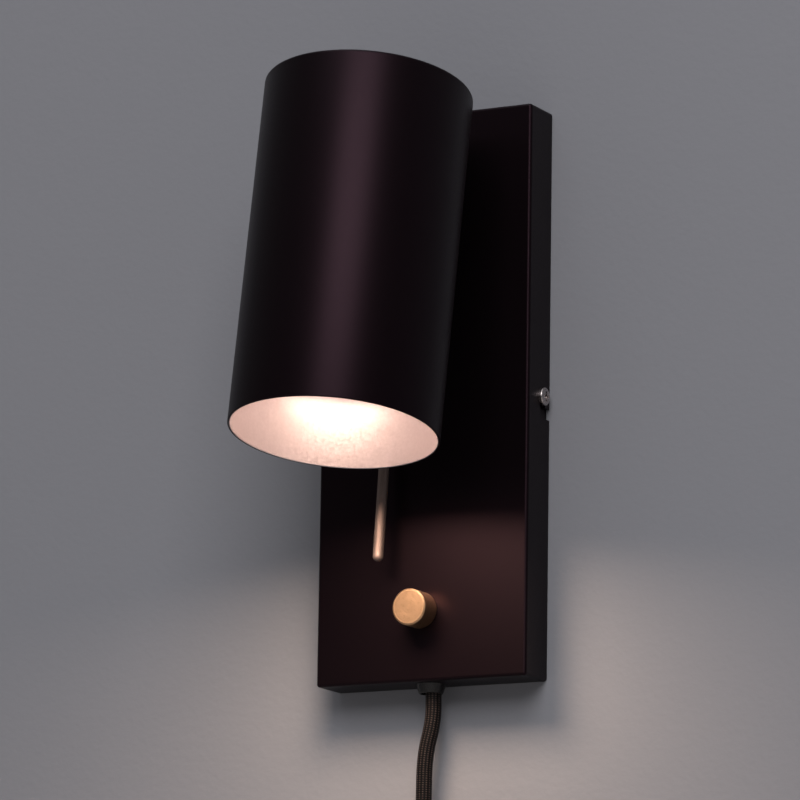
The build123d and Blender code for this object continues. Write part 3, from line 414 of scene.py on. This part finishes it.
@dataclass(frozen=True)
class BraidedTextile:
    """Black rayon braid over the cord: two sets of yarns that cross on the slant, with small painted
    glints, a lighter colour painted where the yarns cross.
    """

    name: str = "rayon_braid_black"
    body: str = "#040303"
    # painted highlight: this lighter colour is painted on the yarn crossings to stand for glints
    painted_glint: str = "#6c5b56"
    carriers: int = 7  # yarn bundles each way round, drawn coarser than real so that they show
    pitch_mm: float = 12.0  # one turn of a yarn along the cord
    yarn_start: float = 0.2  # crossings above this stand out
    fuzz_mm: float = 1.4
    skin: float = 0.8
    skin_mm: float = 0.25
    roughness: float = 0.62
    mirror: float = 0.12
    sheen: float = 0.03
    sheen_roughness: float = 0.4

    def build(self) -> bpy.types.Material:
        """Return the material."""
        material, tree, output = new_material(self.name)
        place = add_node(tree, "ShaderNodeTexCoord")
        split = add_node(tree, "ShaderNodeSeparateXYZ", None, {0: place.outputs["UV"]})
        around = add_node(tree, "ShaderNodeMath", {"operation": "MULTIPLY"},
                          {0: split.outputs["X"], 1: 2 * math.pi * self.carriers})
        along = add_node(tree, "ShaderNodeMath", {"operation": "MULTIPLY"},
                         {0: split.outputs["Y"], 1: 2 * math.pi * self.carriers / (self.pitch_mm * MM)})
        right = add_node(tree, "ShaderNodeMath", {"operation": "ADD"},
                         {0: around.outputs[0], 1: along.outputs[0]})
        left = add_node(tree, "ShaderNodeMath", {"operation": "SUBTRACT"},
                        {0: around.outputs[0], 1: along.outputs[0]})
        right_wave = add_node(tree, "ShaderNodeMath", {"operation": "SINE"}, {0: right.outputs[0]})
        left_wave = add_node(tree, "ShaderNodeMath", {"operation": "SINE"}, {0: left.outputs[0]})
        over = add_node(tree, "ShaderNodeMath", {"operation": "MULTIPLY"},
                        {0: right_wave.outputs[0], 1: left_wave.outputs[0]})
        yarn = add_node(tree, "ShaderNodeMapRange", None,
                        {"Value": over.outputs[0], "From Min": self.yarn_start, "From Max": 1.0})
        fuzz = add_node(tree, "ShaderNodeTexNoise", None,
                        {"Vector": place.outputs["Object"], "Scale": 1 / (self.fuzz_mm * MM),
                         "Detail": 3.0})
        # painted highlight: the glint colour goes into the base colour on the yarn crossings, broken up by
        # the fuzz noise
        shown = add_node(tree, "ShaderNodeMath", {"operation": "MULTIPLY"},
                         {0: yarn.outputs[0], 1: fuzz.outputs["Fac"]})
        colour = add_node(tree, "ShaderNodeMix", {"data_type": "RGBA"},
                          {"Factor": shown.outputs[0], 6: linear(self.body), 7: linear(self.painted_glint)})
        skin = add_node(tree, "ShaderNodeBump", None,
                        {"Height": yarn.outputs[0], "Strength": self.skin, "Distance": self.skin_mm * MM})
        shader = add_node(tree, "ShaderNodeBsdfPrincipled", None,
                          {"Base Color": colour.outputs[2], "Roughness": self.roughness,
                           "Normal": skin.outputs[0], "Sheen Weight": self.sheen,
                           "Sheen Roughness": self.sheen_roughness, "IOR": 1.5,
                           "Specular IOR Level": self.mirror})
        tree.links.new(shader.outputs[0], output.inputs[0])
        return material


@dataclass(frozen=True)
class LitLens:
    """Frosted polycarbonate lens with the lamp on: a warm white glow, even all over."""

    name: str = "lit_lens_frosted"
    body: str = "#fff1e4"
    glow: str = "#ffe2d4"
    strength: float = 16.0
    roughness: float = 0.4
    frost_mm: float = 0.7
    skin: float = 0.2
    skin_mm: float = 0.1

    def build(self) -> bpy.types.Material:
        """Return the material."""
        material, tree, output = new_material(self.name)
        place = add_node(tree, "ShaderNodeTexCoord")
        frost = add_node(tree, "ShaderNodeTexNoise", None,
                         {"Vector": place.outputs["Object"], "Scale": 1 / (self.frost_mm * MM),
                          "Detail": 2.0})
        skin = add_node(tree, "ShaderNodeBump", None,
                        {"Height": frost.outputs["Fac"], "Strength": self.skin,
                         "Distance": self.skin_mm * MM})
        shader = add_node(tree, "ShaderNodeBsdfPrincipled", None,
                          {"Base Color": linear(self.body), "Roughness": self.roughness,
                           "Normal": skin.outputs[0], "Emission Color": linear(self.glow),
                           "Emission Strength": self.strength})
        tree.links.new(shader.outputs[0], output.inputs[0])
        return material


# ---- Sub-assemblies --------------------------------------------------------------------------------


def dress(frame: dict, finish: bpy.types.Material, *nodes: str) -> None:
    """Give CAD nodes one material each.

    Args:
        finish: The material.
        nodes: CAD node names.
    """
    for name in nodes:
        mesh = frame["nodes"][name].data
        mesh.materials.clear()
        mesh.materials.append(finish)
        LOG.info("dressed %s in %s", name, finish.name)


@dataclass
class Shade:
    """Spun steel cylinder, closed at the top, on a slant from the wall."""

    radius: float = 39.5 * MM
    length: float = 137.5 * MM
    wall: float = 1.0 * MM
    top_edge: float = 1.2 * MM
    rim_edge: float = 0.28 * MM
    lean: float = math.radians(9.7)
    hinge: Vector = field(default_factory=lambda: Vector((0.0, -25.2 * MM, 80.0 * MM)))
    hinge_rise: float = 116.7 * MM
    hinge_gap: float = 5.5 * MM
    segments: int = 160
    top_steps: int = 6
    rim_steps: int = 3
    lacquer_from: float = 0.62  # share of the wall, from its outside, past which faces are lacquered

    def place(self) -> Matrix:
        """Return the matrix from the shade's own axes, foot at the origin, to the row frame."""
        up = Vector((0, math.sin(self.lean), math.cos(self.lean)))
        wall = Vector((0, math.cos(self.lean), -math.sin(self.lean)))
        foot = self.hinge - up * self.hinge_rise - wall * (self.radius + self.hinge_gap)
        turn = Matrix((Vector((1, 0, 0)), wall, up)).transposed().to_4x4()
        return Matrix.Translation(foot) @ turn

    def build(self, coat: bpy.types.Material, lacquer: bpy.types.Material) -> None:
        """Model the shell and dress it.

        Args:
            coat: Finish outside.
            lacquer: Finish inside.
        """
        deselect_all()
        bpy.ops.mesh.primitive_cylinder_add(vertices=self.segments, radius=self.radius,
                                            depth=self.length, location=(0, 0, self.length / 2))
        shell = bpy.context.object
        shell.name = "shade_shell"
        bpy.ops.object.transform_apply(location=True, rotation=True, scale=True)
        bpy.ops.object.mode_set(mode="EDIT")
        pick_faces(shell, lambda f: f.normal.z < -0.9)
        bpy.ops.mesh.inset(thickness=self.wall, depth=0)
        bpy.ops.mesh.extrude_region_move(
            TRANSFORM_OT_translate={"value": (0, 0, self.length - self.wall)})
        inner = self.radius - self.wall
        pick_edges(shell, lambda e: all(v.co.z > self.length - TOUCH for v in e.verts)
                   and all(v.co.xy.length > inner + SAME_RING for v in e.verts))
        bpy.ops.mesh.bevel(offset=self.top_edge, segments=self.top_steps, affect="EDGES",
                           clamp_overlap=False)
        pick_edges(shell, lambda e: all(v.co.z < TOUCH for v in e.verts)
                   and abs(e.verts[0].co.xy.length - e.verts[1].co.xy.length) < SAME_RING)
        bpy.ops.mesh.bevel(offset=self.rim_edge, segments=self.rim_steps, affect="EDGES",
                           clamp_overlap=True)
        bpy.ops.object.mode_set(mode="OBJECT")
        shell.data.materials.append(coat)
        shell.data.materials.append(lacquer)
        edge = self.radius - self.wall * self.lacquer_from
        for face in shell.data.polygons:
            middle = face.center
            inside = middle.xy.length < edge and middle.z < self.length - self.wall / 2
            face.material_index = 1 if inside else 0
        settle(shell, self.place())
        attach(shell, "head")
        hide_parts("shade")
        LOG.info("built the shade")


@dataclass
class Cord:
    """Textile cord from the box to its plug: hangs, then the rest is wound and tied."""

    diameter: float = 6.1 * MM
    sides: int = 24
    lead_mm: tuple[tuple[float, float, float], ...] = (
        (1.1, -8.5, -112.3),
        (1.1, -8.5, -115.6),
        (1.25, -8.55, -121.6),
        (0.48, -8.8, -127.6),
        (-1.1, -9.15, -134.0),
        (-1.85, -9.35, -141.0),
        (-1.95, -9.45, -149.5),
        (-1.95, -9.5, -157.5),
        (-4.1, -9.5, -167.0),
        (-8.2, -9.5, -175.6),
        (-14.2, -9.5, -183.0),
        (-20.8, -9.5, -189.6),
    )
    coil_outer: float = 41.0
    coil_pitch: float = 8.0
    layer_pitch: float = 7.3
    layers: int = 4
    half_turns: int = 3
    heading: float = 225.0
    tail_climb: float = 10.6
    points_per_turn: int = 16
    tail_angles: tuple[float, float] = (157.5, 175.0)  # degrees round the coil, on the way to the plug
    nearest_mm: float = 0.2  # points of the smooth route nearer than this to the last are dropped

    def centre(self) -> tuple[float, float]:
        """Return the coil's centre across and up, in millimetres."""
        turned = math.radians(self.heading)
        last = self.lead_mm[-1]
        begin = (last[0] + math.cos(turned) * self.diameter / MM,
                 last[2] + math.sin(turned) * self.diameter / MM)
        return (begin[0] - math.sin(turned) * self.coil_outer,
                begin[1] + math.cos(turned) * self.coil_outer)

    def coil_radius(self, half: float) -> float:
        """Return the radius after a number of half turns: it winds in and out, layer by layer."""
        layer = min(int(half // (self.half_turns + 1)), self.layers - 1)
        stride = half - layer * (self.half_turns + 1)
        wound = min(stride, self.half_turns)
        inward = wound if layer % 2 == 0 else self.half_turns - wound
        return self.coil_outer - inward * self.coil_pitch / 2

    def coil_depth(self, half: float) -> float:
        """Return how far out from the wall the turn has climbed after a number of half turns."""
        layer = min(int(half // (self.half_turns + 1)), self.layers - 1)
        stride = half - layer * (self.half_turns + 1)
        share = max(0.0, stride - self.half_turns)
        eased = share * share * (3 - 2 * share)
        climb = self.tail_climb if layer == self.layers - 1 else self.layer_pitch
        return layer * self.layer_pitch + climb * min(eased, 1.0)

    def route(self) -> list[Vector]:
        """Return the route's points from the box to the plug, in metres."""
        across, up = self.centre()
        start = self.heading - 90.0
        points = list(self.lead_mm)
        halves = self.layers * (self.half_turns + 1)
        steps = halves * self.points_per_turn // 2
        for step in range(1, steps + 1):
            half = step * 2 / self.points_per_turn
            angle = math.radians(start + half * 180.0)
            radius = self.coil_radius(half) / math.cos(math.pi / self.points_per_turn) ** 0.5
            depth = self.lead_mm[-1][1] - self.coil_depth(half)
            points.append((across + radius * math.cos(angle), depth, up + radius * math.sin(angle)))
        out = self.lead_mm[-1][1] - (self.layers - 1) * self.layer_pitch - self.tail_climb
        for turned in self.tail_angles:
            angle = math.radians(turned)
            points.append((across + self.coil_outer * math.cos(angle), out,
                           up + self.coil_outer * math.sin(angle)))
        points.append((across - self.coil_outer, out, up - self.diameter / MM))
        return [Vector(point) * MM for point in points]

    def spline(self) -> bpy.types.Object:
        """Return the route as a NURBS curve with no thickness."""
        points = self.route()
        data = bpy.data.curves.new("cord_route", "CURVE")
        data.dimensions = "3D"
        line = data.splines.new("NURBS")
        line.points.add(len(points) - 1)
        for slot, point in zip(line.points, points):
            slot.co = (*point, 1.0)
        line.order_u = 3
        line.use_endpoint_u = True
        line.resolution_u = 8
        return bpy.data.objects.new("cord_route", data)

    def sampled(self) -> list[Vector]:
        """Return points along the smooth route, in metres."""
        guide = self.spline()
        bpy.context.scene.collection.objects.link(guide)
        bpy.context.view_layer.update()
        smooth = bpy.data.meshes.new_from_object(
            guide.evaluated_get(bpy.context.evaluated_depsgraph_get()))
        path = [vertex.co.copy() for vertex in smooth.vertices]
        bpy.data.objects.remove(guide)
        kept = [path[0]]
        for point in path[1:]:
            if (point - kept[-1]).length > self.nearest_mm * MM:
                kept.append(point)
        return kept

    def tube(self, path: list[Vector]) -> tuple[bpy.types.Mesh, float]:
        """Model the tube round a path, with a UV map that runs round it and along it in metres.

        Args:
            path: Points along the cord's middle.

        Returns:
            The mesh and the path's length.
        """
        mesh = bmesh.new()
        uv_layer = mesh.loops.layers.uv.new("UVMap")
        rings = []
        travelled = [0.0]
        tangent = (path[1] - path[0]).normalized()
        side = tangent.orthogonal().normalized()
        for index, point in enumerate(path):
            ahead = path[min(index + 1, len(path) - 1)] - path[max(index - 1, 0)]
            turned = tangent.rotation_difference(ahead.normalized())
            side = (turned @ side).normalized()
            tangent = ahead.normalized()
            other = tangent.cross(side)
            if index:
                travelled.append(travelled[-1] + (point - path[index - 1]).length)
            turns = (2 * math.pi * step / self.sides for step in range(self.sides))
            rings.append([
                mesh.verts.new(point + (side * math.cos(turn) + other * math.sin(turn)) * self.diameter / 2)
                for turn in turns])
        for ring in range(len(rings) - 1):
            for step in range(self.sides):
                after = (step + 1) % self.sides
                face = mesh.faces.new((rings[ring][step], rings[ring][after],
                                       rings[ring + 1][after], rings[ring + 1][step]))
                face.smooth = True
                corners = ((step, ring), (step + 1, ring), (step + 1, ring + 1), (step, ring + 1))
                for loop, (round_step, along) in zip(face.loops, corners):
                    loop[uv_layer].uv = (round_step / self.sides, travelled[along])
        mesh.faces.new(list(reversed(rings[0])))
        mesh.faces.new(rings[-1])
        data = bpy.data.meshes.new("cord")
        mesh.to_mesh(data)
        mesh.free()
        return data, travelled[-1]

    def build(self, braid: bpy.types.Material, with_pieces: list[str]) -> None:
        """Args:
            braid: Finish of the textile.
            with_pieces: Names of the pieces on the cord; not used.
        """
        kept = self.sampled()
        data, length = self.tube(kept)
        data.materials.append(braid)
        tube = bpy.data.objects.new("cord", data)
        bpy.context.scene.collection.objects.link(tube)
        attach(tube, "base")
        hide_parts("cord_lead", "cord_coil")
        LOG.info("cord is %.3f m long", length)


# ---- Stage, lights and camera ----------------------------------------------------------------------


@dataclass
class Studio:
    """Plain grey wall, pale floor, soft lights and the camera."""

    wall_tone: str = "#8f9095"
    lean: float = math.radians(9.7)  # the shade's rest tilt, as in the photograph
    beam_angle: float = math.radians(164)
    beam_power: float = 0.42
    beam_inset: float = 0.2 * MM  # from the shade's mouth
    beam_margin: float = 2.5 * MM  # from the shade's outside
    bulb_power: float = 0.065
    bulb_inset: float = 31.0 * MM
    bulb_size: float = 32.0 * MM
    beam_tone: str = "#ffe1c8"
    dusk: float = 0.18  # the room's own light, W per square metre and steradian
    floor_tone: str = "#d8d3ce"
    eye: tuple[float, float, float] = (0.89641, -1.73105, -0.38600)
    yaw: float = math.radians(27.89)
    pitch: float = math.radians(11.23)
    roll: float = math.radians(0.89)
    lens: float = 232.42
    sensor: float = 36.0
    sight: float = 50.0  # metres
    sheet: float = 6.0  # side of the wall and of the floor
    wall_gap: float = 0.4 * MM  # behind the lamp's back
    stipple_mm: float = 3.0
    front_place: tuple[float, float, float] = (0.85, -2.04, 1.17)
    front_size: float = 1.4
    front_power: float = 31.0
    overhead_place: tuple[float, float, float] = (0.0, -0.9, 2.6)
    overhead_size: float = 2.4
    overhead_power: float = 24.0

    def camera(self) -> None:
        """Place the camera at the photograph's angle."""
        forward = Vector((-math.sin(self.yaw) * math.cos(self.pitch),
                          math.cos(self.yaw) * math.cos(self.pitch), math.sin(self.pitch)))
        level = Vector((math.cos(self.yaw), math.sin(self.yaw), 0))
        upright = level.cross(forward)
        right = level * math.cos(self.roll) + upright * math.sin(self.roll)
        up = upright * math.cos(self.roll) - level * math.sin(self.roll)
        data = bpy.data.cameras.new("camera")
        data.sensor_width = self.sensor
        data.lens = self.lens
        data.clip_end = self.sight
        eye = bpy.data.objects.new("camera", data)
        bpy.context.scene.collection.objects.link(eye)
        turn = Matrix((right, up, -forward)).transposed().to_4x4()
        eye.matrix_world = Matrix.Translation(Vector(self.eye)) @ turn
        bpy.context.scene.camera = eye

    def backdrop_material(self, name: str, tone: str) -> bpy.types.Material:
        """Return a plain matt roller-painted surface that can't be seen from behind.

        Args:
            name: Material name.
            tone: sRGB hex colour.

        Returns:
            The material.
        """
        material, tree, output = new_material(name)
        geometry = add_node(tree, "ShaderNodeNewGeometry")
        place = add_node(tree, "ShaderNodeTexCoord")
        stipple = add_node(tree, "ShaderNodeTexNoise", None,
                           {"Vector": place.outputs["Object"], "Scale": 1 / (self.stipple_mm * MM),
                            "Detail": 4.0})
        skin = add_node(tree, "ShaderNodeBump", None,
                        {"Height": stipple.outputs["Fac"], "Strength": 0.3, "Distance": 0.0004})
        paint = add_node(tree, "ShaderNodeBsdfPrincipled", None,
                         {"Base Color": linear(tone), "Roughness": 0.9, "Specular IOR Level": 0.1,
                          "Normal": skin.outputs[0]})
        clear = add_node(tree, "ShaderNodeBsdfTransparent")
        shown = add_node(tree, "ShaderNodeMixShader", None,
                         {0: geometry.outputs["Backfacing"], 1: paint.outputs[0], 2: clear.outputs[0]})
        tree.links.new(shown.outputs[0], output.inputs[0])
        return material

    def backdrop(self) -> None:
        """Put a plain wall just behind the lamp and a floor far below it."""
        deselect_all()
        bpy.ops.mesh.primitive_plane_add(size=self.sheet, location=(0, self.wall_gap, 0.8),
                                         rotation=(math.radians(90), 0, 0))
        wall = bpy.context.object
        wall.name = "stage_wall"
        wall.data.materials.append(self.backdrop_material("wall_paint", self.wall_tone))
        bpy.ops.mesh.primitive_plane_add(size=self.sheet, location=(0, -self.sheet / 2, -1.0))
        floor = bpy.context.object
        floor.name = "stage_floor"
        floor.data.materials.append(self.backdrop_material("floor_paint", self.floor_tone))
        deselect_all()

    def area_light(self, name: str, place: Vector, aim: Vector, size: float, power: float,
                   tone: str) -> bpy.types.Object:
        """Add one area light.

        Args:
            name: Light name.
            place: Where it stands, in metres.
            aim: The way it shines.
            size: Side or diameter in metres.
            power: Watts.
            tone: sRGB hex colour.

        Returns:
            The light's object.
        """
        data = bpy.data.lights.new(name, "AREA")
        data.size = size
        data.energy = power
        data.color = linear(tone)[:3]
        light = bpy.data.objects.new(name, data)
        bpy.context.scene.collection.objects.link(light)
        light.location = place
        light.rotation_euler = aim.to_track_quat("-Z", "Y").to_euler()
        return light

    def lights(self) -> None:
        """Light the stage softly and evenly."""
        world = bpy.data.worlds.new("world")
        world.use_nodes = True
        background = world.node_tree.nodes["Background"]
        background.inputs[0].default_value = linear("#eef0f4")
        background.inputs[1].default_value = self.dusk
        bpy.context.scene.world = world
        front, overhead = Vector(self.front_place), Vector(self.overhead_place)
        self.area_light("front", front, -front, self.front_size, self.front_power, "#fbf8fa")
        self.area_light("overhead", overhead, -overhead, self.overhead_size, self.overhead_power, "#f4f5fb")

    def beam(self, shade: tuple[Vector, Vector], body: str) -> None:
        """Add the bulb's light and the light that leaves the shade's mouth; both turn with the shade.

        Args:
            shade: Lowest and highest corner of the shade.
            body: The CAD body that the shade moves with.
        """
        low, high = shade
        radius = (high.x - low.x) / 2
        axis = Vector((0, -math.sin(self.lean), -math.cos(self.lean)))
        mouth = Vector((0, low.y + radius * math.cos(self.lean), low.z + radius * math.sin(self.lean)))
        beam_size = 2 * (radius - self.beam_margin)
        for name, inset, size, power in (("bulb", self.bulb_inset, self.bulb_size, self.bulb_power),
                                         ("beam", self.beam_inset, beam_size, self.beam_power)):
            light = self.area_light(name, mouth - axis * inset, axis, size, power, self.beam_tone)
            light.data.shape = "DISK"
            light.data.spread = self.beam_angle
            light.visible_camera = False
            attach(light, body)


def main() -> None:
    """Build the lamp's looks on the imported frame."""
    logging.basicConfig(level=logging.INFO, format="%(name)s: %(message)s")
    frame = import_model()
    deselect_all()
    bpy.context.scene.view_settings.view_transform = "Standard"

    coat = PowderCoat().build()
    lacquer = AluminiumLacquer().build()
    brass = TurnedBrass().build()
    nickel = PlatedSteel("nickel_plated_rod", "#9a8780", "#84746d", 0.66, Grain.UPRIGHT).build()
    zinc = PlatedSteel("zinc_plated_steel", "#b9b6ae", "#98958e", 0.38).build()
    screw = PlatedSteel("nickel_plated_screw", "#c9c1bf", "#aaa2a0", 0.24).build()
    terminal = PlatedSteel("terminal_brass", "#c9a566", "#a98442", 0.4, Grain.OUTWARD).build()
    black = MouldedPlastic("nylon_black", "#090707", "#0e0b0b", 0.24).build()
    white = MouldedPlastic("polyamide_white", "#dedbd4", "#e9e6df", 0.45).build()
    nylon = MouldedPlastic("nylon_natural", "#d6cfc0", "#e2dccf", 0.5).build()
    sheath = MouldedPlastic("pvc_sheath_brown", "#5a3524", "#6b4230", 0.35).build()
    bulb = MouldedPlastic("polycarbonate_white", "#e4e1db", "#edeae5", 0.3).build()
    ceramic = MouldedPlastic("steatite_ceramic", "#e8e4da", "#f1eee6", 0.38, 1.2, 0.15).build()
    braid = BraidedTextile().build()
    lens = LitLens().build()

    studio = Studio()
    studio.camera()
    Cord().build(braid, ["cord_tie", "plug_body", "plug_pins"])
    Shade().build(coat, lacquer)

    dress(frame, coat, "wall_box", "shade", "swivel_fork", "shade_bracket", "wall_bracket")
    dress(frame, zinc, "ear_nuts", "terminal_nuts", "dimmer_washer", "dimmer_nut",
          "dimmer_shaft", "knob_set_screw", "swivel_stem", "stem_washer", "spring_washer", "stem_nut",
          "stop_pin", "rod_set_screw", "bracket_nuts", "pivot_screws", "holder_bracket",
          "holder_screws", "bulb_pins", "plug_pins")
    dress(frame, screw, "side_screws")
    dress(frame, nickel, "aiming_rod")
    dress(frame, brass, "dimmer_knob")
    dress(frame, terminal, "terminal_screws")
    dress(frame, black, "cord_gland", "gland_nut", "dimmer_body", "lead_bushing", "cord_tie", "plug_body")
    dress(frame, white, "terminal_block")
    dress(frame, nylon, "swivel_washer", "friction_washers")
    dress(frame, sheath, "supply_leads", "dimmer_leads", "lamp_leads", "stem_leads", "head_leads")
    dress(frame, bulb, "bulb_body")
    dress(frame, ceramic, "lampholder")
    dress(frame, lens, "bulb_lens")
    dress(frame, black, "cord_inner", "cord_lead", "cord_coil")

    studio.backdrop()
    studio.lights()
    studio.beam(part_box("shade"), "head")


if __name__ == "__main__":
    main()
